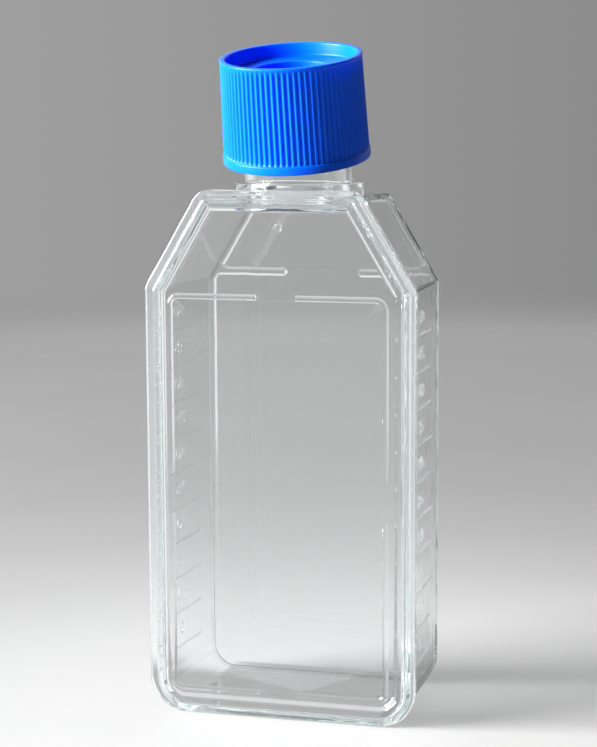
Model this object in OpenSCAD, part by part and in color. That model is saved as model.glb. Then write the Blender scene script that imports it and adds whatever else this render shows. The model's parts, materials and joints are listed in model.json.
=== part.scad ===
// Rectangular canted-neck cell culture flask, standing on its end.
// +Z runs up the flask, +Y points out of the growth panel, and the origin is the middle of the base.

/* [Outline] */
// Width of the flask over its flange
flask_w = 42.6; // [40:0.1:46]
// Height of the flange's straight top edge above the base
flask_h = 81.9; // [80:0.1:88]
// Height at which the sloping shoulders start
shoulder_h = 67; // [62:0.1:70]
// Width of the straight top edge between the shoulders
top_w = 25; // [24:0.1:28]
// Outer radius of the two corners at the base
base_corner_r = 5.8; // [4.5:0.1:7]
// Outer radius of the corners at both ends of a shoulder
shoulder_corner_r = 2.6; // [1.5:0.1:4]

/* [Tray] */
// Depth from the front of the flange to the outside of the growth panel
flask_depth = 25.8; // [24:0.1:30]
// Thickness of the side, end and shoulder walls
wall = 1.1; // [0.9:0.05:1.4]
// Thickness of the growth panel
growth_t = 1.4; // [1:0.1:2]
// How far the side and shoulder walls lean in towards the growth panel
draft = 0.9; // [0.4:0.1:1.4]
// How far the top wall leans down towards the growth panel
top_draft = 0.6; // [0.3:0.1:1]
// Rounding of the edge round the growth panel
back_edge_r = 0.7; // [0.4:0.1:1]
// Rounding inside the tray along the same edge
inner_edge_r = 0.5; // [0.3:0.1:0.8]

/* [Flange and rim] */
// How far the flange stands out from the side, shoulder and top walls
flange_out = 1; // [0.6:0.1:1.4]
// Thickness of the tray's half of the flange
tray_flange_t = 0.8; // [0.6:0.1:1.2]
// Thickness of the cover's half of the flange
cover_flange_t = 0.8; // [0.6:0.1:1.2]
// Distance from the flange's edge to the raised rim
rim_inset = 1.4; // [1:0.1:1.6]
// Width of the raised rim's crest
rim_w = 1.1; // [0.8:0.1:1.2]
// Height of the raised rim in front of the flange
rim_proud = 0.45; // [0.3:0.05:0.8]

/* [Cover plate] */
// Thickness of the cover's panel
panel_t = 1.2; // [0.9:0.1:1.6]
// Depth of the panel's face behind the front of the flange
panel_recess = 0.3; // [0.2:0.05:0.5]
// Distance from the flange's edge to the recessed panel, at the foot of the rim's slope
panel_inset = 3.1; // [2.9:0.1:3.4]
// Distance from the flange's edge to the raised stacking band
band_inset = 4.3; // [4.3:0.1:5]
// Distance from the start of the shoulders down to the top of the stacking band
band_drop = 1.1; // [0.6:0.1:2]
// Width of the stacking band, and depth of its keying steps
band_w = 0.8; // [0.5:0.1:1]
// Height of the stacking band above the recessed panel
band_proud = 0.35; // [0.25:0.05:0.6]
// Height of the panel inside the stacking band above the rest of it
field_proud = 0.15; // [0.05:0.05:0.2]
// Corner radius of the stacking band
band_corner_r = 1.6; // [1.2:0.1:3]
// Length of the keying step in each side of the stacking band
key_l = 6.3; // [4:0.1:8]
// Radial gap where the panel sits inside the tray's mouth
seat_gap = 0.1; // [0.05:0.05:0.2]
// Radius of the moulding gate's round mark
gate_r = 0.6; // [0.4:0.1:0.9]
// Height of the gate mark above the recessed panel
gate_proud = 0.2; // [0.1:0.05:0.4]
// Distance from the flange's top edge down to the gate mark
gate_drop = 5.7; // [5:0.1:8]

/* [Growth panel ridge] */
// Distance from the side walls to the standing ridge that the flask lies on
ridge_inset = 1.1; // [0.9:0.1:1.5]
// Width of the standing ridge
ridge_w = 1.2; // [0.8:0.1:1.5]
// Height of the standing ridge
ridge_h = 0.4; // [0.2:0.1:0.6]
// Distance from the start of the shoulders up to the middle of the ridge's top bar
ridge_rise = 0.5; // [0:0.1:1]
// Corner radius at the ends of the ridge's top bar
ridge_corner_r = 2; // [1.8:0.1:3]
// Gap in the middle of the ridge's top bar
ridge_gap = 12.6; // [8:0.1:16]

/* [Graduations] */
// Number of volume lines on each side wall
line_count = 10; // [6:1:10]
// Height of the lowest line above the base
line_first = 8.05; // [7:0.05:10]
// Spacing of the lines
line_pitch = 5.7; // [5:0.05:5.8]
// Length of a line
line_l = 16; // [8:0.5:18]
// Width of a line
line_w = 0.35; // [0.2:0.05:0.5]
// Height of a line above the wall
line_proud = 0.15; // [0.1:0.05:0.25]
// Distance from the flange to the start of a line
line_inset = 1.2; // [0.6:0.1:2]

/* [Neck] */
// Lean of the neck towards the front
neck_cant = 12; // [8:0.5:14]
// Distance of the neck's root in front of the middle of the flask
neck_forward = 0.6; // [0:0.05:1.2]
// Outer radius of the neck
neck_r = 8.3; // [8:0.1:8.6]
// Radius of the neck's bore
neck_bore_r = 7.2; // [6.8:0.1:7.4]
// Length of bare neck between the top wall and the cap
neck_bare = 5.5; // [5.3:0.1:7]
// Radius of the collar at the neck's root
collar_r = 10; // [9.4:0.1:10.4]
// Height of the collar above the top wall
collar_h = 1.8; // [1:0.1:2.2]

/* [Screw cap] */
// Height of the cap
cap_h = 16.1; // [15:0.1:18]
// Radius of the cap at its lower edge
cap_r = 11.4; // [11.3:0.05:12]
// Radius of the cap at its upper edge
cap_top_r = 10.95; // [10.8:0.05:11.3]
// Height of the smooth band under the ribs
skirt_band_h = 1.3; // [0.8:0.05:2]
// Height of the smooth rim over the ribs
crown_h = 0.9; // [0.6:0.1:1.4]
// Rounding of the rim's outer edge
crown_round = 0.4; // [0.2:0.05:0.5]
// Number of grip ribs
rib_count = 80; // [60:1:90]
// Depth of the grooves between the grip ribs
rib_h = 0.28; // [0.15:0.01:0.4]
// Radial gap between the neck and the cap's bore, which the thread fills
thread_room = 1.35; // [1.1:0.05:1.6]
// Thickness of the wall round the recessed top
recess_wall = 0.95; // [0.8:0.05:1.2]
// Depth of the recess in the top of the cap
recess_d = 2.1; // [1.5:0.1:2.6]
// Thickness of the cap's top and of the plug's end
cap_top_t = 1.2; // [0.9:0.1:1.6]
// Depth of the plug below the cap's top
plug_l = 4.2; // [3:0.1:6]
// Wall thickness of the hollow plug
plug_wall = 1; // [0.8:0.1:1.3]
// Radial clearance of the plug in the neck's bore
plug_gap = 0.1; // [0.05:0.05:0.2]
// Clearance between the neck's lip and the cap's top
lip_gap = 0.05; // [0.05:0.05:0.15]

/* [Hidden] */
arc_steps = 8;
fine_fn = 96;
small_fn = 24;
skin = 0.02;
reach = 1;
front_y = -flask_depth / 2;
back_y = flask_depth / 2;
tray_front_y = front_y + cover_flange_t;
walls_front_y = tray_front_y + tray_flange_t;
growth_in_y = back_y - growth_t;
panel_y = front_y + panel_recess;
top_wall_z = flask_h - flange_out;
ridge_top_z = shoulder_h + ridge_rise + ridge_w / 2;
cap_under = cap_h - recess_d - cap_top_t;
neck_top = neck_bare + cap_under - lip_gap;

// Inward normals of the outline's six edges: base, right side, right shoulder, top, left shoulder
// and left side
shoulder_run = [top_w - flask_w, 2 * (flask_h - shoulder_h)];
shoulder_n = [-shoulder_run[1], shoulder_run[0]] / norm(shoulder_run);
edge_normals = [[0, 1], [-1, 0], shoulder_n, [0, -1], [-shoulder_n[0], shoulder_n[1]], [1, 0]];
// The sharp corner at the start of each edge, and its rounding
corners = [[-flask_w / 2, 0], [flask_w / 2, 0], [flask_w / 2, shoulder_h],
    [top_w / 2, flask_h], [-top_w / 2, flask_h], [-flask_w / 2, shoulder_h]];
corner_rs = [for (k = [0:5]) k < 2 ? base_corner_r : shoulder_corner_r];
least_r = 0.6;

// Insets from the flange's edge, in the order base, sides, shoulders, top. The base stays upright,
// so that the flask stands flat on its end.
all_round = [1, 1, 1, 1];
outer_inset = [0, 1, 1, 1] * flange_out;
lean_in = [0, draft, draft, top_draft];
mouth_inset = outer_inset + all_round * wall;

// Point at the distances d1 and d2 inside two edges that meet at p
function inside_corner(p, n1, d1, n2, d2) =
    let (det = n1[0] * n2[1] - n1[1] * n2[0])
    p + [d1 * n2[1] - d2 * n1[1], n1[0] * d2 - n2[0] * d1] / det;

// Arc about c that turns from one edge's outward normal to the next one's
function corner_arc(c, r, n1, n2) =
    let (start = atan2(-n1[1], -n1[0]), turn = acos(n1 * n2))
    [for (k = [0:arc_steps]) let (a = start + turn * k / arc_steps) c + r * [cos(a), sin(a)]];

// The flask's outline with its edges moved in by inset
function outline(inset) =
    let (moves = [inset[0], inset[1], inset[2], inset[3], inset[2], inset[1]])
    [for (k = [0:5])
        let (before = (k + 5) % 6, n1 = edge_normals[before], n2 = edge_normals[k],
             r = max(corner_rs[k] - (moves[before] + moves[k]) / 2, least_r))
        each corner_arc(inside_corner(corners[k], n1, moves[before] + r, n2, moves[k] + r), r, n1, n2)];

// Shape set upright, running back from y by t
module upright(y, t) {
    translate([0, y + t, 0]) rotate([90, 0, 0]) linear_extrude(t) children();
}

// Solid through a row of outlines, each given as [y, inset]
module lofted(sections) {
    last = len(sections) - 1;
    hull()
        for (k = [0:last])
            upright(sections[k][0] - (k == last ? skin : 0), skin) polygon(outline(sections[k][1]));
}

// Upright rectangle from z1 to z2 with one radius for its lower and one for its upper corners
module rounded_field(half_w, z1, z2, low_r, high_r) {
    n = edge_normals;
    polygon([
        each corner_arc([-half_w + low_r, z1 + low_r], low_r, n[5], n[0]),
        each corner_arc([half_w - low_r, z1 + low_r], low_r, n[0], n[1]),
        each corner_arc([half_w - high_r, z2 - high_r], high_r, n[1], n[3]),
        each corner_arc([-half_w + high_r, z2 - high_r], high_r, n[3], n[5])]);
}

// Places the neck's own frame: z along the canted axis, from the top wall outwards
module on_neck_axis() {
    translate([0, -neck_forward, top_wall_z]) rotate([neck_cant, 0, 0]) children();
}

module volume_line(side, z) {
    lean = atan(draft / (back_y - walls_front_y));
    sunk = wall / 2;
    translate([side * (flask_w / 2 - flange_out), walls_front_y, z - line_w / 2])
        rotate([0, 0, side * lean])
            translate([side > 0 ? -sunk : -line_proud, line_inset, 0])
                cube([sunk + line_proud, line_l, line_w]);
}

module standing_ridge() {
    out = flange_out + draft + ridge_inset;
    half_w = flask_w / 2 - out;
    low_r = base_corner_r - out;
    base = ridge_inset;
    upright(back_y - skin, ridge_h + skin)
        difference() {
            rounded_field(half_w, base, ridge_top_z, low_r, ridge_corner_r);
            rounded_field(half_w - ridge_w, base + ridge_w, ridge_top_z - ridge_w,
                          low_r - ridge_w, ridge_corner_r - ridge_w);
            translate([-ridge_gap / 2, ridge_top_z - 2 * ridge_w]) square([ridge_gap, 3 * ridge_w]);
        }
    for (side = [-1, 1])
        translate([side * ridge_gap / 2, back_y + ridge_h, ridge_top_z - ridge_w / 2])
            rotate([90, 0, 0]) cylinder(h = ridge_h + skin, r = ridge_w / 2, $fn = small_fn);
}

module flask_body() {
    color([0.86, 0.92, 0.93, 0.4])
    difference() {
        union() {
            lofted([[tray_front_y, outer_inset],
                    [back_y - back_edge_r, outer_inset + lean_in],
                    [back_y, outer_inset + lean_in + all_round * back_edge_r]]);
            upright(tray_front_y, tray_flange_t) polygon(outline([0, 0, 0, 0]));
            standing_ridge();
            for (side = [-1, 1], k = [0:line_count - 1]) volume_line(side, line_first + k * line_pitch);
            translate([0, -neck_forward, top_wall_z - wall])
                cylinder(h = collar_h + wall, r = collar_r, $fn = fine_fn);
            on_neck_axis() translate([0, 0, -wall / 2])
                cylinder(h = neck_top + wall / 2, r = neck_r, $fn = fine_fn);
        }
        lofted([[tray_front_y - reach, mouth_inset],
                [walls_front_y, mouth_inset],
                [growth_in_y - inner_edge_r, mouth_inset + lean_in],
                [growth_in_y, mouth_inset + lean_in + all_round * inner_edge_r]]);
        on_neck_axis() translate([0, 0, -4 * wall])
            cylinder(h = neck_top + 5 * wall, r = neck_bore_r, $fn = fine_fn);
    }
}

// The stacking band's outline, keyed outwards on the left and below, and inwards on the right and
// above, so that stacked flasks lock together
module band_outline() {
    half_w = flask_w / 2 - band_inset;
    top = shoulder_h - band_drop;
    mid = (band_inset + top) / 2;
    difference() {
        union() {
            rounded_field(half_w, band_inset, top, band_corner_r, band_corner_r);
            translate([-half_w - band_w, mid - key_l / 2]) square([2 * band_w, key_l]);
            translate([-key_l / 2, band_inset - band_w]) square([key_l, 2 * band_w]);
        }
        translate([half_w - band_w, mid - key_l / 2]) square([2 * band_w, key_l]);
        translate([-key_l / 2, top - band_w]) square([key_l, 2 * band_w]);
    }
}

module cover_plate() {
    half_w = flask_w / 2 - band_inset - band_w;
    top = shoulder_h - band_drop - band_w;
    inner_r = band_corner_r - band_w;
    color([0.88, 0.94, 0.95, 0.4])
    difference() {
        union() {
            upright(front_y, cover_flange_t) polygon(outline([0, 0, 0, 0]));
            upright(front_y, panel_recess + panel_t) polygon(outline(mouth_inset + all_round * seat_gap));
            upright(front_y - rim_proud, rim_proud + skin) polygon(outline(all_round * rim_inset));
        }
        difference() {
            lofted([[front_y - rim_proud - skin, all_round * (rim_inset + rim_w)],
                    [panel_y, all_round * panel_inset]]);
            difference() {
                upright(panel_y - band_proud, band_proud + reach) band_outline();
                upright(panel_y - band_proud - reach, reach + band_proud - field_proud)
                    rounded_field(half_w, band_inset + band_w, top, inner_r, inner_r);
            }
            translate([0, panel_y + reach, flask_h - gate_drop])
                rotate([90, 0, 0]) cylinder(h = reach + gate_proud, r = gate_r, $fn = small_fn);
        }
    }
}

// Grooved wall of the cap between z1 and z2, following the cap's taper
module ribbed_wall(z1, z2) {
    taper = (cap_r - cap_top_r) / cap_h;
    r1 = cap_r - taper * z1;
    r2 = cap_r - taper * z2;
    step = 360 / rib_count;
    // Share of a rib's pitch and of the groove's depth at the four corners of one rib
    profile = [[-0.38, 1], [-0.14, 0], [0.14, 0], [0.38, 1]];
    translate([0, 0, z1])
        linear_extrude(z2 - z1, scale = r2 / r1)
            polygon([for (k = [0:rib_count - 1], p = profile)
                let (a = step * (k + p[0]) - 90, r = r1 - rib_h * p[1]) r * [cos(a), sin(a)]]);
}

module screw_cap() {
    plug_r = neck_bore_r - plug_gap;
    plug_end = cap_under - plug_l;
    crown_z = cap_h - crown_h;
    color([0.02, 0.32, 0.86])
    on_neck_axis() translate([0, 0, neck_bare])
        difference() {
            union() {
                difference() {
                    union() {
                        ribbed_wall(skirt_band_h / 2, crown_z + crown_h / 2);
                        cylinder(h = skirt_band_h, r = cap_r, $fn = fine_fn);
                        translate([0, 0, crown_z])
                            cylinder(h = crown_h - crown_round, r = cap_top_r, $fn = fine_fn);
                        translate([0, 0, cap_h - crown_round])
                            cylinder(h = crown_round, r1 = cap_top_r, r2 = cap_top_r - crown_round,
                                     $fn = fine_fn);
                    }
                    translate([0, 0, -reach])
                        cylinder(h = cap_under + reach, r = neck_r + thread_room, $fn = fine_fn);
                }
                translate([0, 0, plug_end]) cylinder(h = plug_l + cap_top_t, r = plug_r, $fn = fine_fn);
            }
            translate([0, 0, cap_h - recess_d])
                cylinder(h = recess_d + reach, r = cap_top_r - recess_wall, $fn = fine_fn);
            translate([0, 0, plug_end + cap_top_t])
                cylinder(h = cap_h, r = plug_r - plug_wall, $fn = fine_fn);
        }
}

flask_body();
cover_plate();
screw_cap();
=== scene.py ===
import json
from math import atan, atan2, hypot, pi, radians, tan

import bmesh
import bpy
from mathutils import Matrix, Vector


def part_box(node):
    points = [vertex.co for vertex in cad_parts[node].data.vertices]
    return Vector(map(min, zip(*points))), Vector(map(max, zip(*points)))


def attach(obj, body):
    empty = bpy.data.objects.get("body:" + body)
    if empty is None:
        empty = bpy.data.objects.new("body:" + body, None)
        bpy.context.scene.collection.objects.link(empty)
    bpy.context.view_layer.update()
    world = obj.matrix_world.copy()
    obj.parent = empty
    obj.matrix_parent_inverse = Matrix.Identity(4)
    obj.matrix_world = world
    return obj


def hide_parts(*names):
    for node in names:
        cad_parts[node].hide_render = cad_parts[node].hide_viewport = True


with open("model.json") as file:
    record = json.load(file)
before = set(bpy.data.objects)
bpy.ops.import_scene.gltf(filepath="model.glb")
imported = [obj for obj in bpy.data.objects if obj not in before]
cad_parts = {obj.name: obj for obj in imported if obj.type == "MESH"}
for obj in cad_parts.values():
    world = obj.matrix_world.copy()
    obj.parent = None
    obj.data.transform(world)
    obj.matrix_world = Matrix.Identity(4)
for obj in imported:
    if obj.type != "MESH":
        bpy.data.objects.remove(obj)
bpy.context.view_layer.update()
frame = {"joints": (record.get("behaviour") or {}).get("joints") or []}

# shapes are worked in millimetres, and a finished mesh is scaled to metres
toMetres = 0.001
coverLow, coverHigh = (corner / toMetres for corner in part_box("cover_plate"))
neckJoint = next(joint for joint in frame["joints"] if joint["name"] == "cap_lift")
neckAxis = Vector(neckJoint["axis"]).normalized()
neckCant = atan2(-neckAxis.y, neckAxis.z)

flaskOutline = {
    "width": coverHigh.x - coverLow.x,
    "height": coverHigh.z,
    "depth": 25.8,        # front of the flange to the outside of the growth panel
    "shoulderHeight": 67.0,
    "topWidth": 25.0,
    "baseCorner": 5.8,
    "shoulderCorner": 2.6,
    "coverFlange": 0.8,   # the cover's half of the flange
    "rimProud": 0.45,     # how far the cover's rim stands in front of the flange
}
front = coverLow.y + flaskOutline["rimProud"]  # front of the flange
seam = front + flaskOutline["coverFlange"]     # where cover and tray meet
growthOut = front + flaskOutline["depth"]      # outer face of the growth panel

meshing = {
    "smallestCorner": 0.12,
    "loopStagger": 0.003,  # loops in one plane wouldn't bridge cleanly
    "mostRounded": 0.48,   # share of a step that one rounding may take
    "skirt": 0.02,         # a raised form goes straight out of its panel this far, then slopes
    "farIn": 3,            # a loop well inside a panel, so that its face closes evenly
    "poleWithin": 0.0005,
    "mergeWithin": 0.002,
    "flatWithin": 0.001,
}


def bothShoulders(base, side, shoulder, top):
    # one inset for each of the outline's six edges, starting at the base
    return [base, side, shoulder, top, shoulder, side]


def insideCorner(corner, before, insetBefore, after, insetAfter):
    # where two edges meet once each has moved in
    turn = before.x * after.y - before.y * after.x
    return corner + Vector((insetBefore * after.y - insetAfter * before.y,
                            insetAfter * before.x - insetBefore * after.x)) / turn


def addLoop(bm, shape, insets, y, facets):
    # one closed upright loop: the shape's corners, its edges moved in, then rounded by a vertex bevel
    count = len(shape)
    points = [Vector(corner[:2]) for corner in shape]
    inwards = []
    for k in range(count):
        run = (points[(k + 1) % count] - points[k]).normalized()
        inwards.append(Vector((-run.y, run.x)))
    verts = []
    cuts = []
    for k in range(count):
        before = inwards[k - 1]
        after = inwards[k]
        place = insideCorner(points[k], before, insets[k - 1], after, insets[k])
        turn = before.angle_signed(after)
        convex = 1 if turn < 0 else -1
        radius = shape[k][2] - convex * (insets[k - 1] + insets[k]) / 2
        radius = max(radius, meshing["smallestCorner"])
        cuts.append(radius * tan(abs(turn) / 2))
        verts.append(bm.verts.new((place.x, y, place.y)))
    known = set(bm.edges)
    bm.faces.new(verts)
    for vert, cut in zip(verts, cuts):
        bmesh.ops.bevel(bm, geom=[vert], offset=cut, offset_type="OFFSET", affect="VERTICES",
                        segments=facets, profile=0.5, material=-1)
    edges = [edge for edge in bm.edges if edge not in known]
    bmesh.ops.delete(bm, geom=list({face for edge in edges for face in edge.link_faces}),
                     context="FACES_ONLY")
    return edges


def eased(profile, steps, measure):
    # rounds the turning points of a profile, each given as (vector, rounding)
    points = [profile[0][0]]
    for k in range(1, len(profile) - 1):
        here, rounding = profile[k]
        before = profile[k - 1][0]
        after = profile[k + 1][0]
        if rounding <= 0:
            points.append(here)
            continue
        start = here.lerp(before, min(rounding / measure(before - here), meshing["mostRounded"]))
        end = here.lerp(after, min(rounding / measure(after - here), meshing["mostRounded"]))
        for step in range(steps + 1):
            share = step / steps
            points.append(start.lerp(here, share).lerp(here.lerp(end, share), share))
    points.append(profile[-1][0])
    return points


def runLength(run):
    # length of a step in a profile: how far its side edge moves in, and how far it moves back
    sideways = run[0] if len(run) == 2 else run[1]
    return hypot(sideways, run[-1])


def loftShell(shape, profile, closed=True, steps=4, facets=12):
    # a solid through loops of one shape: profile entries are ([insets..., y], rounding)
    # closed fills its first and last loops, otherwise it is a ring and they are joined
    bm = bmesh.new()
    sections = eased([(Vector(place), rounding) for place, rounding in profile], steps, runLength)
    loops = []
    for k, section in enumerate(sections):
        insets = list(section)[:-1]
        if len(insets) != len(shape):
            insets = bothShoulders(*insets) if len(insets) == 4 else insets * len(shape)
        depth = section[-1] + meshing["loopStagger"] * (k % 2)
        loops.append(addLoop(bm, shape, insets, depth, facets))
    for first, second in zip(loops, loops[1:]):
        bmesh.ops.bridge_loops(bm, edges=first + second)
    if closed:
        bmesh.ops.edgeloop_fill(bm, edges=loops[0])
        bmesh.ops.edgeloop_fill(bm, edges=loops[-1])
    else:
        bmesh.ops.bridge_loops(bm, edges=loops[0] + loops[-1])
    bmesh.ops.recalc_face_normals(bm, faces=bm.faces)
    return bm


def turned(profile, facets, steps=4):
    # a spun solid about Z from (radius, height, rounding) points
    bm = bmesh.new()
    points = eased([(Vector((r, 0, z)), rounding) for r, z, rounding in profile], steps,
                   lambda run: run.length)
    verts = [bm.verts.new(point) for point in points]
    edges = [bm.edges.new(pair) for pair in zip(verts, verts[1:])]
    bmesh.ops.spin(bm, geom=verts + edges, cent=(0, 0, 0), axis=(0, 0, 1), angle=2 * pi,
                   steps=facets, use_merge=True, use_duplicate=False)
    bmesh.ops.remove_doubles(bm, verts=bm.verts, dist=meshing["poleWithin"])
    bmesh.ops.recalc_face_normals(bm, faces=bm.faces)
    return bm


threadForm = {
    "root": 0.35,         # how far it starts inside the wall
    "crest": 0.35,        # width of its crest, as a share of its foot
    "fadeRate": 6,        # it reaches its full height in one turn divided by this
    "endHeight": 0.25,    # height that is left at its ends
    "facets": 72,
}


def helix(radius, height, halfWidth, reach, pitch, turns):
    # a screw thread about Z that fades in and out, reach outwards (or inwards if negative)
    bm = bmesh.new()
    facets = threadForm["facets"]
    sunk = radius - threadForm["root"] * (1 if reach > 0 else -1)
    crest = radius + reach
    halfCrest = halfWidth * threadForm["crest"]
    corners = [(sunk, -halfWidth), (crest, -halfCrest), (crest, halfCrest), (sunk, halfWidth)]
    face = bm.faces.new([bm.verts.new((r, 0, height + z)) for r, z in corners])
    bmesh.ops.spin(bm, geom=[face], cent=(0, 0, 0), axis=(0, 0, 1), angle=2 * pi * turns,
                   dvec=(0, 0, pitch / facets), steps=int(facets * turns), use_merge=False,
                   use_duplicate=False)
    for vert in bm.verts:
        around = atan2(vert.co.y, vert.co.x) / (2 * pi)
        lap = around + round((vert.co.z - height) / pitch - around)
        fade = max(min(1, lap * threadForm["fadeRate"], (turns - lap) * threadForm["fadeRate"]), 0)
        away = hypot(vert.co.x, vert.co.y)
        if abs(away - crest) < 0.01:
            full = threadForm["endHeight"] + (1 - threadForm["endHeight"]) * fade
            scaled = (sunk + (crest - sunk) * full) / away
            vert.co.x *= scaled
            vert.co.y *= scaled
    bmesh.ops.recalc_face_normals(bm, faces=bm.faces)
    return bm


def placed(bm, place):
    bmesh.ops.transform(bm, matrix=place, verts=bm.verts)
    return bm


def joined(*parts):
    whole = bmesh.new()
    for part in parts:
        mesh = bpy.data.meshes.new("part")
        part.to_mesh(mesh)
        part.free()
        whole.from_mesh(mesh)
        bpy.data.meshes.remove(mesh)
    return whole


def asObject(name, bm):
    mesh = bpy.data.meshes.new(name)
    bm.to_mesh(mesh)
    bm.free()
    made = bpy.data.objects.new(name, mesh)
    bpy.context.scene.collection.objects.link(made)
    return made


def meshOf(holder):
    # an object's mesh as a bmesh again, without the object
    bm = bmesh.new()
    bm.from_mesh(holder.data)
    bpy.data.objects.remove(holder)
    return bm


def combined(piece, tool, operation):
    # joins or cuts the piece with a tool mesh, and keeps the result as its mesh
    cutter = asObject("tool", tool)
    change = piece.modifiers.new("change", "BOOLEAN")
    change.operation = operation
    change.solver = "EXACT"
    change.object = cutter
    evaluated = piece.evaluated_get(bpy.context.evaluated_depsgraph_get())
    result = bpy.data.meshes.new_from_object(evaluated)
    piece.modifiers.clear()
    old = piece.data
    piece.data = result
    bpy.data.meshes.remove(old)
    spare = cutter.data
    bpy.data.objects.remove(cutter)
    bpy.data.meshes.remove(spare)


def finished(piece, body, node, material, sharpAngle=32):
    # tidies the mesh, scales it to metres, gives it its body and finish, and hides the CAD part it
    # stands for
    bm = bmesh.new()
    bm.from_mesh(piece.data)
    bmesh.ops.remove_doubles(bm, verts=bm.verts, dist=meshing["mergeWithin"])
    bmesh.ops.dissolve_degenerate(bm, edges=bm.edges, dist=meshing["flatWithin"])
    bmesh.ops.scale(bm, vec=(toMetres,) * 3, verts=bm.verts)
    openEdges = sum(1 for edge in bm.edges if len(edge.link_faces) != 2)
    print("piece", piece.name, "faces", len(bm.faces), "open edges", openEdges)
    bm.to_mesh(piece.data)
    bm.free()
    piece.data.shade_smooth()
    piece.data.set_sharp_from_angle(angle=radians(sharpAngle))
    evened = piece.modifiers.new("even shading", "WEIGHTED_NORMAL")
    evened.keep_sharp = True
    evened.weight = 80  # large faces count for more
    piece.data.materials.clear()
    piece.data.materials.append(material)
    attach(piece, body)
    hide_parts(node)


class Value:
    # a socket that takes plain arithmetic
    def __init__(self, finish, socket):
        self.finish = finish
        self.socket = socket

    def maths(self, operation, first, second):
        return self.finish.node("ShaderNodeMath", {"operation": operation}, {0: first, 1: second})[0]

    def __add__(self, other):
        return self.maths("ADD", self, other)

    def __radd__(self, other):
        return self.maths("ADD", other, self)

    def __sub__(self, other):
        return self.maths("SUBTRACT", self, other)

    def __rsub__(self, other):
        return self.maths("SUBTRACT", other, self)

    def __mul__(self, other):
        return self.maths("MULTIPLY", self, other)

    def __rmul__(self, other):
        return self.maths("MULTIPLY", other, self)

    def __pow__(self, other):
        return self.maths("POWER", self, other)


class Outputs:
    # a node's outputs by name or number
    def __init__(self, finish, node):
        self.finish = finish
        self.node = node

    def __getitem__(self, key):
        return Value(self.finish, self.node.outputs[key])


class Finish:
    # a node tree that is filled by one call for each node
    def __init__(self, tree):
        self.tree = tree
        self.tree.nodes.clear()

    def node(self, kind, settings=None, sockets=None):
        made = self.tree.nodes.new(kind)
        for name, value in (settings or {}).items():
            if name == "stops":
                self.setStops(made.color_ramp, value)
            else:
                setattr(made, name, value)
        for key, value in (sockets or {}).items():
            if isinstance(value, Value):
                self.tree.links.new(value.socket, made.inputs[key])
            else:
                made.inputs[key].default_value = value
        return Outputs(self, made)

    def setStops(self, ramp, stops):
        while len(ramp.elements) < len(stops):
            ramp.elements.new(0.5)
        for element, (place, colour) in zip(ramp.elements, stops):
            element.position = place
            element.color = colour

    def mixColour(self, factor, first, second):
        return self.node("ShaderNodeMix", {"data_type": "RGBA"}, {0: factor, 6: first, 7: second})[2]

    def mixShader(self, factor, first, second):
        return self.node("ShaderNodeMixShader", None, {0: factor, 1: first, 2: second})[0]

    def noise(self, place, scale, detail, roughness):
        made = self.node("ShaderNodeTexNoise", {"noise_dimensions": "3D"},
                         {"Vector": place, "Scale": scale, "Detail": detail, "Roughness": roughness})
        return made["Fac"]

    def absolute(self, value):
        return self.node("ShaderNodeMath", {"operation": "ABSOLUTE"}, {0: value})[0]

    def larger(self, first, second):
        return self.node("ShaderNodeMath", {"operation": "MAXIMUM"}, {0: first, 1: second})[0]

    def straight(self, value, low, high):
        # 0 at low and 1 at high, in a straight line between them
        return self.node("ShaderNodeMapRange", {"interpolation_type": "LINEAR"},
                         {"Value": value, "From Min": low, "From Max": high})[0]

    def smooth(self, value, low, high):
        # 0 at low and 1 at high, eased between them
        return self.node("ShaderNodeMapRange", {"interpolation_type": "SMOOTHSTEP"},
                         {"Value": value, "From Min": low, "From Max": high})[0]

    def dot(self, first, second):
        made = self.node("ShaderNodeVectorMath", {"operation": "DOT_PRODUCT"}, {0: first, 1: second})
        return made["Value"]

    def mirrored(self):
        # 1 for what shows in a reflection or through something clear
        path = self.node("ShaderNodeLightPath")
        return self.larger(path["Is Transmission Ray"], path["Is Glossy Ray"])

    def seen(self):
        # 1 for what the camera sees directly, in a reflection or through something clear
        return self.larger(self.node("ShaderNodeLightPath")["Is Camera Ray"], self.mirrored())


def newMaterial(name):
    material = bpy.data.materials.new(name)
    material.use_nodes = True
    return material, Finish(material.node_tree)


def grey(level):
    return (level, level, level, 1)


clearLook = {
    "base": (0.99, 1.0, 1.0, 1),
    "tint": (0.86, 0.965, 0.955, 1),  # colour left in the light by a long way through the plastic
    "tintDensity": 24,                # per metre
    "ior": 1.59,
    "polish": 0.006,                  # roughness of the clean moulding
    "cloud": (90, 3, 0.6),            # scale, detail and roughness of the pattern
    "cloudRoughness": 0.02,
    "wave": (210, 1.5, 0.45),
    "waveDepth": 0.00006,
    "waveStrength": 0.35,
    "shadowPass": 0.918,
    "shadowMost": 0.97,               # share of the light through a wall that faces it
    "shadowGrazing": 1.1,             # how much more a wall shades light that skims it
    "milk": (0.9, 0.95, 0.95, 1),
    "milkRoughness": 0.6,
    "seamHaze": 0.035,                # milky share of the welded faces
    "seamNear": 0.00003,              # it fades out between these distances from the seam
    "seamFar": 0.00008,
    "markHaze": 0.1,                  # milky share of the faces of the graduations
    "markRoughness": 0.2,
    "markLow": 0.4,                   # it fades in between these shares of their height
    "markHigh": 0.7,
    "markBehind": 0.4,                # only further than this behind the flange, in millimetres
}


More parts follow.
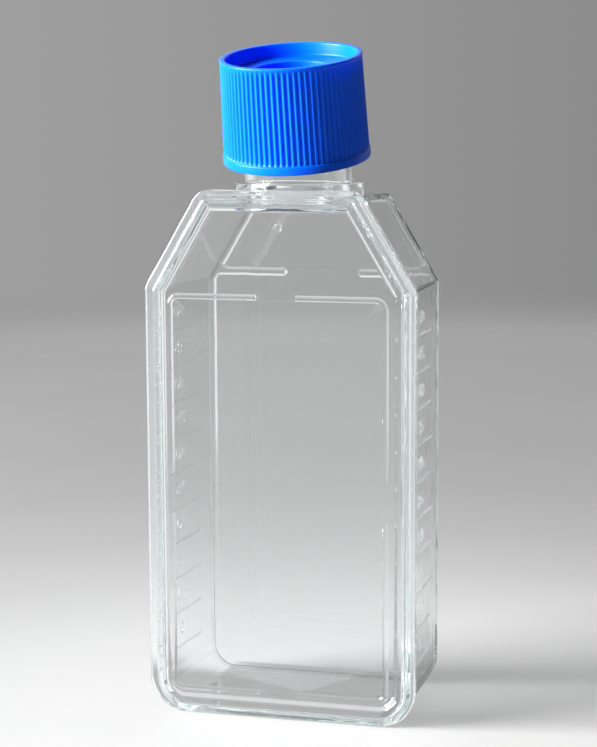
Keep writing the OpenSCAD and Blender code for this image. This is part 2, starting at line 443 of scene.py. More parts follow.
def clearPlastic(name, seed):
    material, finish = newMaterial(name)
    place = finish.node("ShaderNodeTexCoord")["Object"]
    shifted = finish.node("ShaderNodeMapping", None,
                          {"Vector": place, "Location": (seed, seed * 2, seed * 3)})[0]
    wave = finish.noise(shifted, *clearLook["wave"])
    cloud = finish.noise(shifted, *clearLook["cloud"])
    bump = finish.node("ShaderNodeBump", None,
                       {"Height": wave, "Strength": clearLook["waveStrength"],
                        "Distance": clearLook["waveDepth"]})[0]
    sides = finish.node("ShaderNodeSeparateXYZ", None, {0: place})
    wallLine = (sides["Y"] - wallsFront * toMetres) * tan(wallLean)  # the side walls lean in
    proud = finish.absolute(sides["X"]) + wallLine - (halfWidth - out) * toMetres
    markLow = graduations["height"] * clearLook["markLow"] * toMetres
    markHigh = graduations["height"] * clearLook["markHigh"] * toMetres
    onMark = finish.straight(proud, markLow, markHigh)
    behindFlange = finish.node("ShaderNodeMath", {"operation": "GREATER_THAN"},
                               {0: sides["Y"], 1: (wallsFront + clearLook["markBehind"]) * toMetres})[0]
    onMark = onMark * behindFlange
    roughness = clearLook["polish"] + clearLook["cloudRoughness"] * cloud ** 3
    roughness = roughness + clearLook["markRoughness"] * onMark
    plastic = finish.node("ShaderNodeBsdfPrincipled", {"distribution": "GGX"},
                          {"Base Color": clearLook["base"], "Roughness": roughness,
                           "IOR": clearLook["ior"], "Transmission Weight": 1.0, "Normal": bump})[0]
    milky = finish.node("ShaderNodeBsdfPrincipled", None,
                        {"Base Color": clearLook["milk"], "Roughness": clearLook["milkRoughness"]})[0]
    fromSeam = finish.absolute(sides["Y"] - seam * toMetres)
    atSeam = finish.straight(fromSeam, clearLook["seamFar"], clearLook["seamNear"])
    haziness = atSeam * clearLook["seamHaze"] + onMark * clearLook["markHaze"]
    plastic = finish.mixShader(haziness, plastic, milky)
    # shadows stay pale: most of the light goes straight through a wall
    passing = finish.node("ShaderNodeBsdfTransparent", None, {"Color": grey(clearLook["shadowPass"])})[0]
    path = finish.node("ShaderNodeLightPath")
    facing = finish.node("ShaderNodeLayerWeight", None, {"Blend": 0.5})["Facing"]
    passed = path["Is Shadow Ray"] * (clearLook["shadowMost"] - clearLook["shadowGrazing"] * facing ** 4)
    surface = finish.mixShader(passed, plastic, passing)
    depth = finish.node("ShaderNodeVolumeAbsorption", None,
                        {"Color": clearLook["tint"], "Density": clearLook["tintDensity"]})[0]
    finish.node("ShaderNodeOutputMaterial", None, {"Surface": surface, "Volume": depth})
    return material


capLook = {
    "blue": (0.0, 0.115, 0.95, 1),
    "deepBlue": (0.0, 0.1, 0.88, 1),
    "cloud": (120, 3, 0.55),  # scale, detail and roughness of the pattern
    "smoothest": 0.27,    # roughness where the clouding is least
    "clouding": 0.1,
    "grain": (2600, 2, 0.6),
    "grainDepth": 0.00004,
    "grainStrength": 0.25,
    "ior": 1.51,
    "shine": 0.1,
    "glow": 0.15,         # light that spreads inside the plastic
    "glowReach": (0.0004, 0.0008, 0.002),
}


def bluePlastic(name):
    material, finish = newMaterial(name)
    place = finish.node("ShaderNodeTexCoord")["Object"]
    cloud = finish.noise(place, *capLook["cloud"])
    grain = finish.noise(place, *capLook["grain"])
    bump = finish.node("ShaderNodeBump", None,
                       {"Height": grain, "Strength": capLook["grainStrength"],
                        "Distance": capLook["grainDepth"]})[0]
    plastic = finish.node("ShaderNodeBsdfPrincipled", None,
                          {"Base Color": finish.mixColour(cloud, capLook["deepBlue"], capLook["blue"]),
                           "Roughness": capLook["smoothest"] + capLook["clouding"] * cloud,
                           "IOR": capLook["ior"], "Specular IOR Level": capLook["shine"],
                           "Normal": bump, "Subsurface Weight": capLook["glow"],
                           "Subsurface Radius": capLook["glowReach"], "Subsurface Scale": 1.0})[0]
    finish.node("ShaderNodeOutputMaterial", None, {"Surface": plastic})
    return material


halfWidth = flaskOutline["width"] / 2
halfTop = flaskOutline["topWidth"] / 2
flaskShape = [
    (-halfWidth, 0, flaskOutline["baseCorner"]),
    (halfWidth, 0, flaskOutline["baseCorner"]),
    (halfWidth, flaskOutline["shoulderHeight"], flaskOutline["shoulderCorner"]),
    (halfTop, flaskOutline["height"], flaskOutline["shoulderCorner"]),
    (-halfTop, flaskOutline["height"], flaskOutline["shoulderCorner"]),
    (-halfWidth, flaskOutline["shoulderHeight"], flaskOutline["shoulderCorner"]),
]

tray = {
    "flangeOut": 1.0,
    "flange": 0.8,
    "wall": 1.1,
    "growthPanel": 1.4,
    "draft": 0.9,
    "topDraft": 0.6,
    "backEdge": 0.8,      # roundings, from the back to the front
    "flangeFoot": 0.25,
    "flangeEdge": 0.2,
    "flangeSlope": (0.1, 0.05),  # the flange's back leans, behind and in front of its level
    "mouthEdge": 0.1,
    "innerEdge": 0.35,
    "ledgeEdge": 0.12,
    "weldGap": 0.03,
    "ledge": 0.35,        # a ledge round the inside of the growth panel
    "ledgeHeight": 0.33,
    "loftSteps": 8,
}
wallsFront = seam + tray["flange"]
growthIn = growthOut - tray["growthPanel"]
out = tray["flangeOut"]
leanIn = (0, tray["draft"], tray["draft"], tray["topDraft"])
outer = (0, out, out, out)
mouth = (tray["wall"],) + (out + tray["wall"],) * 3

bars = {
    # two bars on the inside of the growth panel, at the foot of the shoulders
    "middle": 67.5,
    "width": 1.35,
    "height": 0.36,
    "slope": 0.40,
    "flare": 2.6,         # how much wider they get where they meet the walls
    "leftEnd": 5.45,
    "rightEnd": 6.4,
    "endRound": 0.48,     # as a share of their width
    "lowFillet": 1.4,
    "highFillet": 1.0,
    "onLedge": 0.08,      # how far they overlap the ledge
    "inWall": 0.55,       # their roots end inside the walls
    "inShoulder": 0.5,
    "inPanel": 0.3,
    "corner": 0.12,
    "footEdge": 0.04,
    "crestEdge": 0.1,
    "crestIn": 0.08,
}


def plus(insets, extra, y, rounding):
    # one entry of a profile: the insets of base, side, shoulder and top with more added
    return ([inset + add for inset, add in zip(insets, extra)] + [y], rounding)


flat = (0, 0, 0, 0)
farIn = (meshing["farIn"],) * 4
onLedge = (tray["ledge"] / 2,) + (tray["ledge"],) * 3
ledgeFace = growthIn - tray["ledgeHeight"]
backOuter = [a + b for a, b in zip(outer, leanIn)]
backInner = [a + b for a, b in zip(mouth, leanIn)]
overLedge = [inset + bars["slope"] for inset in onLedge]
trayFront = seam + tray["weldGap"] / 2
trayShell = loftShell(flaskShape, [
    plus(backOuter, farIn, growthOut, 0),
    plus(backOuter, flat, growthOut, tray["backEdge"]),
    plus(outer, flat, wallsFront + tray["flangeSlope"][0], tray["flangeFoot"]),
    plus(flat, flat, wallsFront - tray["flangeSlope"][1], tray["flangeEdge"]),
    plus(flat, flat, trayFront, 0),
    plus(mouth, flat, trayFront, tray["mouthEdge"]),
    plus(backInner, flat, ledgeFace, tray["innerEdge"]),
    plus(backInner, onLedge, ledgeFace, tray["ledgeEdge"]),
    plus(backInner, overLedge, growthIn, tray["ledgeEdge"]),
    plus(backInner, farIn, growthIn, 0),
], steps=tray["loftSteps"])
flask = asObject("clear_flask", trayShell)
print("tray shell made")

shoulderRise = flaskOutline["height"] - flaskOutline["shoulderHeight"]
shoulderRun = Vector((halfWidth - halfTop, shoulderRise)).normalized()
innerSide = halfWidth - backInner[1]
innerShoulder = halfWidth - backInner[2] / shoulderRun.y  # on the shoulder's line, level with its foot


def besideShoulder(z):
    return innerShoulder - (z - flaskOutline["shoulderHeight"]) * shoulderRun.x / shoulderRun.y


barLow = bars["middle"] - bars["width"] / 2
barHigh = bars["middle"] + bars["width"] / 2
barCrest = growthIn - bars["height"]
barRoot = tray["ledge"] - bars["onLedge"]
flareLow = barLow - bars["flare"]
flareHigh = barHigh + bars["flare"]
endRound = bars["width"] * bars["endRound"]
barCorner = bars["corner"]


def slopes(width):
    # only the edges that show slope; those in the wall stay upright
    return [0] + [width] * 5 + [0, 0, 0]


for side, barEnd in ((-1, bars["leftEnd"]), (1, bars["rightEnd"])):
    barShape = [(-x, z, radius) for x, z, radius in [
        (innerSide + bars["inWall"], flareLow, barCorner),
        (innerSide - barRoot, flareLow, barCorner),
        (innerSide - barRoot, barLow, bars["lowFillet"]),
        (barEnd, barLow, endRound),
        (barEnd, barHigh, endRound),
        (besideShoulder(barHigh) - barRoot, barHigh, bars["highFillet"]),
        (besideShoulder(flareHigh) - barRoot, flareHigh, barCorner),
        (besideShoulder(flareHigh) + bars["inShoulder"], flareHigh, barCorner),
        (innerSide + bars["inWall"], flaskOutline["shoulderHeight"], barCorner),
    ]]
    bar = loftShell(barShape, [
        (slopes(0) + [growthIn + bars["inPanel"]], 0),
        (slopes(0) + [growthIn - meshing["skirt"]], bars["footEdge"]),
        (slopes(bars["slope"]) + [barCrest], bars["crestEdge"]),
        (slopes(bars["slope"] + bars["crestIn"]) + [barCrest], 0),
    ], facets=8)
    if side > 0:
        placed(bar, Matrix.Scale(-1, 4, (1, 0, 0)))
        bmesh.ops.reverse_faces(bar, faces=bar.faces)
    combined(flask, bar, "UNION")

graduations = {
    "count": 10,
    "lowest": 8.05,
    "pitch": 5.7,
    "length": 16.0,
    "width": 0.35,
    "height": 0.08,
    "sunk": 0.3,          # how far lines and numbers go into the wall
    "endRound": 0.16,
    "fromFlange": 1.2,
    "step": 5,            # volume between lines
    "numberSize": 2.9,
    "numberStretch": 1.6,
    "numberFromFlange": 8.6,
    "numberRise": 2.75,   # above its line
    "numberFacets": 3,
}
wallLean = atan(tray["draft"] / (growthOut - wallsFront))


def onSideWall(side, along, z):
    # frame on a side wall: X runs back along the wall (forward on the left), Y up, Z outwards
    turn = Matrix.Rotation(radians(90), 4, "X")
    turn = Matrix.Rotation(radians(90) * side, 4, "Z") @ turn
    lean = Matrix.Rotation(side * wallLean, 4, "Z")
    start = Matrix.Translation((side * (halfWidth - out), wallsFront, z))
    return start @ lean @ Matrix.Translation((0, along, 0)) @ turn


def volumeLine(side, z):
    bm = bmesh.new()
    bmesh.ops.create_cube(bm, size=1)
    thickness = 2 * graduations["sunk"]
    placed(bm, Matrix.Diagonal((graduations["length"], graduations["width"], thickness, 1)))
    ends = [edge for edge in bm.edges
            if abs(edge.verts[0].co.z - edge.verts[1].co.z) > thickness / 2]
    bmesh.ops.bevel(bm, geom=ends, offset=graduations["endRound"], offset_type="OFFSET",
                    affect="EDGES", segments=3, profile=0.5, material=-1)
    rise = graduations["height"] - graduations["sunk"]
    middle = graduations["fromFlange"] + graduations["length"] / 2
    return placed(bm, onSideWall(side, middle, z) @ Matrix.Translation((0, 0, rise)))


def volumeNumber(side, z, words):
    curve = bpy.data.curves.new("number", "FONT")
    curve.body = words
    curve.size = graduations["numberSize"]
    curve.extrude = graduations["sunk"]
    curve.align_x = "CENTER"
    curve.align_y = "CENTER"
    curve.resolution_u = graduations["numberFacets"]
    holder = bpy.data.objects.new("number", curve)
    bpy.context.scene.collection.objects.link(holder)
    evaluated = holder.evaluated_get(bpy.context.evaluated_depsgraph_get())
    mesh = bpy.data.meshes.new_from_object(evaluated)
    bpy.data.objects.remove(holder)
    bm = bmesh.new()
    bm.from_mesh(mesh)
    bpy.data.meshes.remove(mesh)
    bmesh.ops.remove_doubles(bm, verts=bm.verts, dist=meshing["mergeWithin"])
    bmesh.ops.recalc_face_normals(bm, faces=bm.faces)
    stretch = Matrix.Diagonal((graduations["numberStretch"], 1, 1, 1))
    rise = Matrix.Translation((0, 0, graduations["height"] - graduations["sunk"]))
    return placed(bm, onSideWall(side, graduations["numberFromFlange"], z) @ rise @ stretch)


marks = []
for side in (-1, 1):
    for k in range(graduations["count"]):
        level = graduations["lowest"] + k * graduations["pitch"]
        volume = graduations["step"] * (k + 1)
        marks.append(volumeLine(side, level))
        marks.append(volumeNumber(side, level + graduations["numberRise"], str(volume)))
combined(flask, joined(*marks), "UNION")
print("bars and graduations made")

clearBody = clearPlastic("clearBody", 0.0)
clearCover = clearPlastic("clearCover", 0.31)
blueCap = bluePlastic("blueCap")
print("materials made")

neck = {
    "forward": 0.6,
    "radius": 8.3,
    "bore": 7.2,
    "boreDepth": 5,       # how far below the foot of the neck the bore is cut
    "top": 18.25,
    "rim": 0.45,
    "chamfer": 0.3,
    "chamferPast": 0.05,  # the cutter goes this far past the rim
    "collarRadius": 10.0,
    "collarHeight": 1.8,
    "collarRim": 0.3,
    "collarSunk": 0.9,
    "tubeSunk": 0.55,
    "facets": 128,
    "threadStart": 8.2,
    "threadPitch": 3.4,
    "threadTurns": 1.9,
    "threadReach": 0.85,
    "threadHalfWidth": 0.75,
}
topWall = flaskOutline["height"] - out
neckFoot = Matrix.Translation((0, -neck["forward"], topWall))
neckPlace = neckFoot @ Matrix.Rotation(neckCant, 4, "X")
collar = turned([
    (0, -neck["collarSunk"], 0),
    (neck["collarRadius"], -neck["collarSunk"], 0),
    (neck["collarRadius"], neck["collarHeight"], neck["collarRim"]),
    (0, neck["collarHeight"], 0),
], neck["facets"])
combined(flask, placed(collar, neckFoot), "UNION")
tube = turned([
    (0, -neck["tubeSunk"], 0),
    (neck["radius"], -neck["tubeSunk"], 0),
    (neck["radius"], neck["top"], neck["rim"]),
    (0, neck["top"], 0),
], neck["facets"])
combined(flask, placed(tube, neckPlace), "UNION")
thread = helix(neck["radius"], neck["threadStart"], neck["threadHalfWidth"], neck["threadReach"],
               neck["threadPitch"], neck["threadTurns"])
combined(flask, placed(thread, neckPlace), "UNION")
chamferOut = neck["bore"] + neck["chamfer"] + neck["chamferPast"]
bore = turned([
    (0, -neck["boreDepth"], 0),
    (neck["bore"], -neck["boreDepth"], 0),
    (neck["bore"], neck["top"] - neck["chamfer"], 0),
    (chamferOut, neck["top"] + neck["chamferPast"], 0),
    (chamferOut, neck["top"] + 1, 0),
    (0, neck["top"] + 1, 0),
], neck["facets"])
combined(flask, placed(bore, neckPlace), "DIFFERENCE")
finished(flask, "flask", "flask_body", clearBody)
print("neck made")

cover = {
    "rimInset": 1.4,
    "rimSlope": 0.15,
    "rimWidth": 1.1,
    "recess": 0.3,
    "panel": 1.2,
    "panelInset": 3.25,
    "seatGap": 0.1,
    "seatEdge": 0.15,     # roundings, from the back to the front
    "seatFoot": 0.05,
    "flangeBackEdge": 0.08,
    "flangeEdge": 0.3,
    "rimFoot": 0.15,
    "rimEdge": 0.2,
    "loftSteps": 8,
    "bandLeft": -17.8,    # outer edges of the stacking band
    "bandRight": 17.15,
    "bandLow": 3.45,
    "bandHigh": 66.1,
    "bandWidth": 1.0,
    "bandProud": 0.3,
    "bandSlope": 0.33,
    "bandFoot": 0.02,
    "bandEdge": 0.2,
    "bandCorner": 1.7,
    "topRightCorner": 2.0,
    "fieldProud": 0.08,   # the panel inside the band is raised a little
    "fieldEdge": 0.05,
    "fieldUnder": 0.1,    # how far it goes under the band's inner side
    "bandSunk": 0.3,      # how far its root goes into the panel
    "fieldSunk": 0.2,     # less, so that the two roots aren't in one plane
    "gapLeft": -3.5,      # gaps in the middle of its sides
    "gapRight": 2.7,
    "gapLow": 31.65,
    "gapHigh": 38.05,
    "gapDepth": 3,
    "gateRadius": 0.65,   # a moulding mark above the band
    "gateProud": 0.3,
    "gateEdge": 0.25,
    "gateDish": 0.05,
    "gateSunk": 0.4,
    "gateDrop": 5.7,
    "gateFacets": 32,
}
panelFace = front + cover["recess"]
panelBack = panelFace + cover["panel"]
rimCrest = front - flaskOutline["rimProud"]
seated = [inset + cover["seatGap"] for inset in mouth]
coverBack = seam - tray["weldGap"] / 2
coverShell = loftShell(flaskShape, [
    plus(seated, farIn, panelBack, 0),
    plus(seated, flat, panelBack, cover["seatEdge"]),
    plus(seated, flat, coverBack, cover["seatFoot"]),
    plus(flat, flat, coverBack, cover["flangeBackEdge"]),
    plus(flat, flat, front, cover["flangeEdge"]),
    plus(flat, (cover["rimInset"],) * 4, front, cover["rimFoot"]),
    plus(flat, (cover["rimInset"] + cover["rimSlope"],) * 4, rimCrest, cover["rimEdge"]),
    plus(flat, (cover["rimInset"] + cover["rimWidth"],) * 4, rimCrest, cover["rimEdge"]),
    plus(flat, (cover["panelInset"],) * 4, panelFace, cover["rimEdge"]),
    plus(flat, (cover["panelInset"] + meshing["farIn"],) * 4, panelFace, 0),
], steps=cover["loftSteps"])
plate = asObject("clear_cover", coverShell)

bandShape = [
    (cover["bandLeft"], cover["bandLow"], cover["bandCorner"]),
    (cover["bandRight"], cover["bandLow"], cover["bandCorner"]),
    (cover["bandRight"], cover["bandHigh"], cover["topRightCorner"]),
    (cover["bandLeft"], cover["bandHigh"], cover["bandCorner"]),
]
bandCrest = panelFace - cover["bandProud"]
bandWidth = cover["bandWidth"]
bandSlope = cover["bandSlope"]
bandRoot = panelFace + cover["bandSunk"]
bandSkirt = panelFace - meshing["skirt"]
band = asObject("band", loftShell(bandShape, [
    ([0, bandRoot], 0),
    ([0, bandSkirt], cover["bandFoot"]),
    ([bandSlope, bandCrest], cover["bandEdge"]),
    ([bandWidth - bandSlope, bandCrest], cover["bandEdge"]),
    ([bandWidth, bandSkirt], cover["bandFoot"]),
    ([bandWidth, bandRoot], 0),
], closed=False, facets=8))
throughEnds = ((cover["gapLeft"], 0), (cover["gapRight"], flaskOutline["shoulderHeight"]))
throughSides = ((-halfWidth, cover["gapLow"]), (halfWidth, cover["gapHigh"]))
for low, high in (throughEnds, throughSides):
    gap = bmesh.new()
    bmesh.ops.create_cube(gap, size=1)
    middle = Matrix.Translation(((low[0] + high[0]) / 2, panelFace, (low[1] + high[1]) / 2))
    placed(gap, middle @ Matrix.Diagonal((high[0] - low[0], cover["gapDepth"], high[1] - low[1], 1)))
    combined(band, gap, "DIFFERENCE")
fieldFace = panelFace - cover["fieldProud"]
fieldRoot = panelFace + cover["fieldSunk"]
fieldSide = bandWidth - cover["fieldUnder"]
field = loftShell(bandShape, [
    ([bandWidth + meshing["farIn"], fieldRoot], 0),
    ([fieldSide, fieldRoot], 0),
    ([fieldSide, fieldFace], cover["fieldEdge"]),
    ([bandWidth + meshing["farIn"], fieldFace], 0),
], steps=3, facets=8)
combined(band, field, "UNION")
combined(plate, meshOf(band), "UNION")
gate = turned([
    (0, -cover["gateSunk"], 0),
    (cover["gateRadius"], -cover["gateSunk"], 0),
    (cover["gateRadius"], cover["gateProud"], cover["gateEdge"]),
    (0, cover["gateProud"] - cover["gateDish"], 0),
], cover["gateFacets"])
gatePlace = (Matrix.Translation((0, panelFace, flaskOutline["height"] - cover["gateDrop"]))
             @ Matrix.Rotation(radians(90), 4, "X"))
combined(plate, placed(gate, gatePlace), "UNION")
finished(plate, "flask", "cover_plate", clearCover)
print("cover made")

cap = {
    "from": 5.5,          # lower edge along the neck from the top wall
    "height": 16.1,
    "radius": 11.4,
    "topRadius": 10.95,
    "bandHeight": 1.3,
    "footEdge": 0.25,
    "bandEdge": 0.15,
    "topEdge": 0.3,
    "crown": 0.5,
    "ribs": 80,
    "ribDepth": 0.28,
    "ribSteps": 6,        # facets in one rib
    "grooveShare": 0.72,  # width of a groove, as a share of a rib's pitch
    "ribStart": 0.4,      # length over which the grooves deepen at the band
    "ribEnd": 0.75,       # and fade below the crown
    "ribEndRound": 0.4,   # how rounded their upper ends are
    "ribsIn": 0.1,        # how far the ribs' crests stand inside the band
    "bore": 9.65,
    "boreEdge": 0.3,
    "innerEdge": 0.6,
    "recessRadius": 10.0,
    "recessDepth": 2.1,
    "recessEdge": 0.4,
    "top": 1.2,
    "plugRadius": 7.1,
    "plugWall": 1.0,
    "plugLength": 4.2,
    "plugFlare": 0.08,    # how much it widens at its root
    "plugFlareHeight": 0.5,
    "wellEdge": 0.25,
    "threadHalfWidth": 0.65,
    "threadReach": 0.95,
    "threadTurns": 1.6,
}
capTaper = (cap["radius"] - cap["topRadius"]) / cap["height"]
recessFloor = cap["height"] - cap["recessDepth"]
capUnder = recessFloor - cap["top"]
plugEnd = capUnder - cap["plugLength"]
wellRadius = cap["plugRadius"] - cap["plugWall"]
ribLow = cap["bandHeight"]
ribHigh = cap["height"] - cap["crown"]


def capSide(z):
    return cap["radius"] - capTaper * z


# heights of the loops round the ribs, close together where the grooves start and end
ribRows = [ribLow + rise for rise in (0.05, 0.2, 0.4, 0.7, 3)]
ribRows += [(ribLow + ribHigh) / 2]
ribRows += [ribHigh - drop for drop in (3, 0.9, 0.55, 0.3, 0.12, 0)]
capProfile = [
    (0, plugEnd + cap["top"], 0),
    (wellRadius, plugEnd + cap["top"], cap["innerEdge"]),
    (wellRadius, recessFloor, cap["wellEdge"]),
    (cap["recessRadius"], recessFloor, cap["recessEdge"]),
    (cap["recessRadius"], cap["height"], cap["topEdge"]),
    (cap["topRadius"] - 0.02, cap["height"], cap["topEdge"]),
    (capSide(ribHigh + 0.1) - 0.03, ribHigh + 0.1, 0),
]
capProfile += [(capSide(z) - cap["ribsIn"], z, 0) for z in reversed(ribRows)]
capProfile += [
    (cap["radius"], cap["bandHeight"] - 0.05, cap["bandEdge"]),
    (cap["radius"], 0, cap["footEdge"]),
    (cap["bore"], 0, cap["boreEdge"]),
    (cap["bore"], capUnder, cap["innerEdge"]),
    (cap["plugRadius"] + cap["plugFlare"], capUnder, 0.1),
    (cap["plugRadius"], capUnder - cap["plugFlareHeight"], 0.2),
    (cap["plugRadius"], plugEnd, cap["innerEdge"]),
    (0, plugEnd, 0),
]
capMesh = turned(capProfile, cap["ribs"] * cap["ribSteps"], steps=3)
ribInside = cap["recessRadius"] + 0.4  # only what is further out than this is ribbed
for vert in capMesh.verts:
    away = hypot(vert.co.x, vert.co.y)
    z = vert.co.z
    if away > ribInside and ribLow < z < ribHigh + 0.01:
        turn = (atan2(vert.co.y, vert.co.x) / (2 * pi) * cap["ribs"]) % 1
        across = abs(2 * turn - 1)  # 0 in the middle of a groove, 1 on a rib's crest
        groove = max(1 - (across / cap["grooveShare"]) ** 2, 0)
        startFade = min((z - ribLow) / cap["ribStart"], 1)
        rounded = (1 - groove) * cap["ribEndRound"]
        endFade = min(max((ribHigh - z) / cap["ribEnd"] - rounded, 0), 1)
        drop = cap["ribDepth"] * groove * startFade * endFade ** 0.5
        vert.co.x *= (away - drop) / away
        vert.co.y *= (away - drop) / away
threadLevel = neck["threadStart"] + neck["threadPitch"] / 2 - cap["from"]  # between the neck's turns
capThread = helix(cap["bore"], threadLevel, cap["threadHalfWidth"], -cap["threadReach"],
                  neck["threadPitch"], cap["threadTurns"])
capMesh = joined(capMesh, capThread)
capPlace = neckPlace @ Matrix.Translation((0, 0, cap["from"]))
screwCap = asObject("blue_screw_cap", placed(capMesh, capPlace))
finished(screwCap, "cap", "screw_cap", blueCap, sharpAngle=50)
print("cap made")

studio = {
    # painted pool of light on the floor: distance from its middle, and how pale the floor is painted
    # there; paler round the flask, and paler again far out to make up for the lamp's falloff
    "floorStops": (
        (0.0, 0.405), (0.05, 0.389), (0.075, 0.368), (0.095, 0.335), (0.115, 0.301), (0.15, 0.264),
        (0.20, 0.241), (0.26, 0.248), (0.31, 0.277), (0.37, 0.314), (0.455, 0.409), (0.55, 0.648),
    ),
    # middle of the painted pool of light
    "floorMiddle": (0.02, -0.02, 0),
    "floorRadius": 1.6,
    "floorDrop": 0.00005,  # just under the flask
    "floorTilt": 1.5,      # painted light: how much paler the floor is painted for each metre to the right, to make up for the lamp's falloff
    "tiltLeast": 0.15,
    "tiltMost": 1.3,
    "floorRoughness": 0.7,
    "floorShine": 0.2,
    "lampDim": 0.72,       # painted shade: how much darker the floor is painted by the lamp, against the lamp's own light
    "dimFrom": -0.18,      # where that starts on the left
    "dimFull": -0.45,
    "fadeFrom": 0.2,       # the floor fades into the backdrop between these distances
    "fadeFull": 0.75,
    "besideFrom": 0.2,     # the same for the floor on the left, seen through the flask
    "besideFull": 0.32,
    "ambient": 0.015,
    "farLeft": 0.352,      # greys of the backdrop, from one side to the other
    "farRight": 0.262,
    "acrossFrom": -0.42,
    "acrossFull": -0.13,
    "overhead": 1.0,
    "overheadFrom": 0.14,  # height of the view direction where the overhead light starts
    "overheadFull": 0.5,
    "leftSide": 0.85,      # greys of the surroundings to either side, and behind the camera
    "rightSide": 0.95,
    "behind": 0.75,
    "behindFrom": -0.2,    # cosine of the turn from the far side where it starts
    "behindFull": -0.8,
    "sidesFrom": 0.80,     # the same for the sides
    "sidesFull": 0.55,
    "sideBlend": 0.2,      # how wide the change from the left grey to the right is
    "leftFrom": -0.25,     # sine of the turn where the left side starts
    "leftFull": -0.45,
    "leftLow": -0.24,      # height of the view direction where it starts
    "leftHigh": -0.16,
    "rightFrom": 0.35,     # the same for the right side, above the floor
    "rightFull": 0.55,
    "rightLow": -0.02,
    "rightHigh": 0.05,
    "lookAlong": (-0.276, 0.961, 0),  # to the far side, and to the right as seen from the near side
    "lookRight": (0.961, 0.276, 0),
}


def besideView(finish, way, leftShare, rightShare):
    # 0 on the far side and 1 round the others, with left and right taken by their shares
    ahead = finish.dot(way, studio["lookAlong"])
    toRight = finish.dot(way, studio["lookRight"])
    either = finish.smooth(ahead, studio["sidesFrom"], studio["sidesFull"])
    left = leftShare * finish.smooth(toRight, studio["leftFrom"], studio["leftFull"])
    right = rightShare * finish.smooth(toRight, studio["rightFrom"], studio["rightFull"])
    return finish.larger(finish.larger(either, left), right)


def studioFloor(name):
    material, finish = newMaterial(name)
    place = finish.node("ShaderNodeTexCoord")["Object"]
    fromMiddle = finish.node("ShaderNodeVectorMath", {"operation": "SUBTRACT"},
                             {0: place, 1: studio["floorMiddle"]})[0]
    away = finish.node("ShaderNodeVectorMath", {"operation": "LENGTH"}, {0: fromMiddle})["Value"]
    # painted pool of light: the floor's grey by distance from the pool's middle
    stops = [(distance, grey(level)) for distance, level in studio["floorStops"]]
    colour = finish.node("ShaderNodeValToRGB", {"stops": stops}, {0: away})["Color"]
    across = finish.node("ShaderNodeSeparateXYZ", None, {0: place})["X"]
    # painted light: the floor is painted paler to the right, against the lamp's falloff
    paintedLightScale = finish.node("ShaderNodeClamp", None,
                       {"Value": 1 + across * studio["floorTilt"],
                        "Min": studio["tiltLeast"], "Max": studio["tiltMost"]})[0]
    # painted shade: the floor is painted darker towards the lamp, against its light
    paintedLightScale = paintedLightScale * (1 - studio["lampDim"] * finish.smooth(across, studio["dimFrom"], studio["dimFull"]))
    colour = finish.node("ShaderNodeVectorMath", {"operation": "SCALE"},
                         {0: colour, "Scale": paintedLightScale})["Vector"]
    board = finish.node("ShaderNodeBsdfPrincipled", None,
                        {"Base Color": colour, "Roughness": studio["floorRoughness"],
                         "Specular IOR Level": studio["floorShine"]})[0]
    clear = finish.node("ShaderNodeBsdfTransparent")[0]
    way = finish.node("ShaderNodeVectorMath", {"operation": "NORMALIZE"}, {0: place})[0]
    leftShare = finish.smooth(away, studio["besideFrom"], studio["besideFull"])
    beside = besideView(finish, way, leftShare, 0) * finish.mirrored()
    faded = finish.larger(finish.smooth(away, studio["fadeFrom"], studio["fadeFull"]), beside)
    finish.node("ShaderNodeOutputMaterial", None, {"Surface": finish.mixShader(faded, board, clear)})
    return material


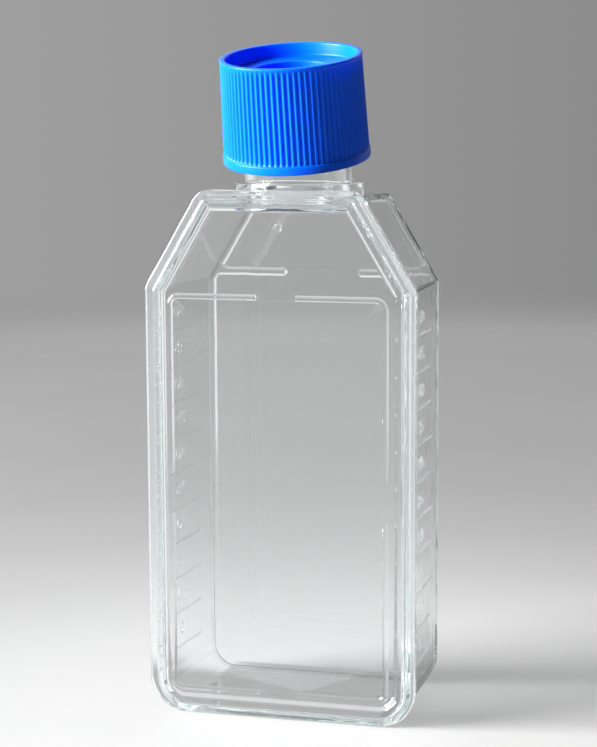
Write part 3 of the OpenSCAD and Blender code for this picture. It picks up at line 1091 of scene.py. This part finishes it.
def studioAir(name):
    # dim for the light on the flask, and shown in full wherever it is seen
    world = bpy.data.worlds.new(name)
    world.use_nodes = True
    finish = Finish(world.node_tree)
    way = finish.node("ShaderNodeTexCoord")["Generated"]
    heading = finish.node("ShaderNodeSeparateXYZ", None, {0: way})
    across = finish.straight(heading["X"], studio["acrossFrom"], studio["acrossFull"])
    backdrop = finish.mixColour(across, grey(studio["farLeft"]), grey(studio["farRight"]))
    ahead = finish.dot(way, studio["lookAlong"])
    toRight = finish.dot(way, studio["lookRight"])
    behind = finish.smooth(ahead, studio["behindFrom"], studio["behindFull"])
    leftwards = finish.smooth(toRight, studio["sideBlend"], -studio["sideBlend"])
    around = finish.mixColour(leftwards, grey(studio["rightSide"]), grey(studio["leftSide"]))
    around = finish.mixColour(behind, around, grey(studio["behind"]))
    leftShare = finish.smooth(heading["Z"], studio["leftLow"], studio["leftHigh"])
    rightShare = finish.smooth(heading["Z"], studio["rightLow"], studio["rightHigh"])
    backdrop = finish.mixColour(besideView(finish, way, leftShare, rightShare), backdrop, around)
    upwards = finish.smooth(heading["Z"], studio["overheadFrom"], studio["overheadFull"])
    backdrop = finish.mixColour(upwards, backdrop, grey(studio["overhead"]))
    shown = finish.node("ShaderNodeBackground", None, {"Color": backdrop, "Strength": 1.0})[0]
    dim = finish.node("ShaderNodeBackground", None,
                      {"Color": grey(studio["ambient"]), "Strength": 1.0})[0]
    finish.node("ShaderNodeOutputWorld", None, {"Surface": finish.mixShader(finish.seen(), dim, shown)})
    return world


floorMesh = bmesh.new()
bmesh.ops.create_circle(floorMesh, cap_ends=True, segments=96, radius=studio["floorRadius"])
placed(floorMesh, Matrix.Translation((0, 0, -studio["floorDrop"])))
floor = asObject("studio_floor", floorMesh)
floor.data.materials.append(studioFloor("studioFloor"))
bpy.context.scene.world = studioAir("studio")

keyLamp = {
    "place": (-0.68, -0.36, 0.28),
    "aim": (0, 0, 0.045),
    "width": 0.5,
    "height": 0.5,
    "power": 49,
}
light = bpy.data.lights.new("keyLamp", "AREA")
light.shape = "RECTANGLE"
light.size = keyLamp["width"]
light.size_y = keyLamp["height"]
light.energy = keyLamp["power"]
lamp = bpy.data.objects.new("keyLamp", light)
lamp.location = keyLamp["place"]
lampWay = Vector(keyLamp["aim"]) - Vector(keyLamp["place"])
lamp.rotation_euler = lampWay.to_track_quat("-Z", "Y").to_euler()
lamp.visible_camera = False
bpy.context.scene.collection.objects.link(lamp)

view = {
    "place": (0.0883, -0.3092, 0.0969),
    "turn": 16.02,        # degrees round from straight ahead
    "down": 7.87,
    "roll": -0.29,
    "lens": 99.22,
    "bounces": 24,        # clear walls pass light many times before it leaves them
}
camera = bpy.data.cameras.new("camera")
camera.lens = view["lens"]
cameraObject = bpy.data.objects.new("camera", camera)
cameraObject.matrix_world = (Matrix.Translation(view["place"])
                             @ Matrix.Rotation(radians(view["turn"]), 4, "Z")
                             @ Matrix.Rotation(radians(90 - view["down"]), 4, "X")
                             @ Matrix.Rotation(radians(view["roll"]), 4, "Z"))
bpy.context.scene.collection.objects.link(cameraObject)
bpy.context.scene.camera = cameraObject
bpy.context.scene.view_settings.view_transform = "Standard"
paths = bpy.context.scene.cycles
paths.max_bounces = view["bounces"]
paths.glossy_bounces = view["bounces"]
paths.transmission_bounces = view["bounces"]
paths.transparent_max_bounces = view["bounces"]
paths.caustics_reflective = False
paths.caustics_refractive = False
print("studio made")

bpy.context.view_layer.update()
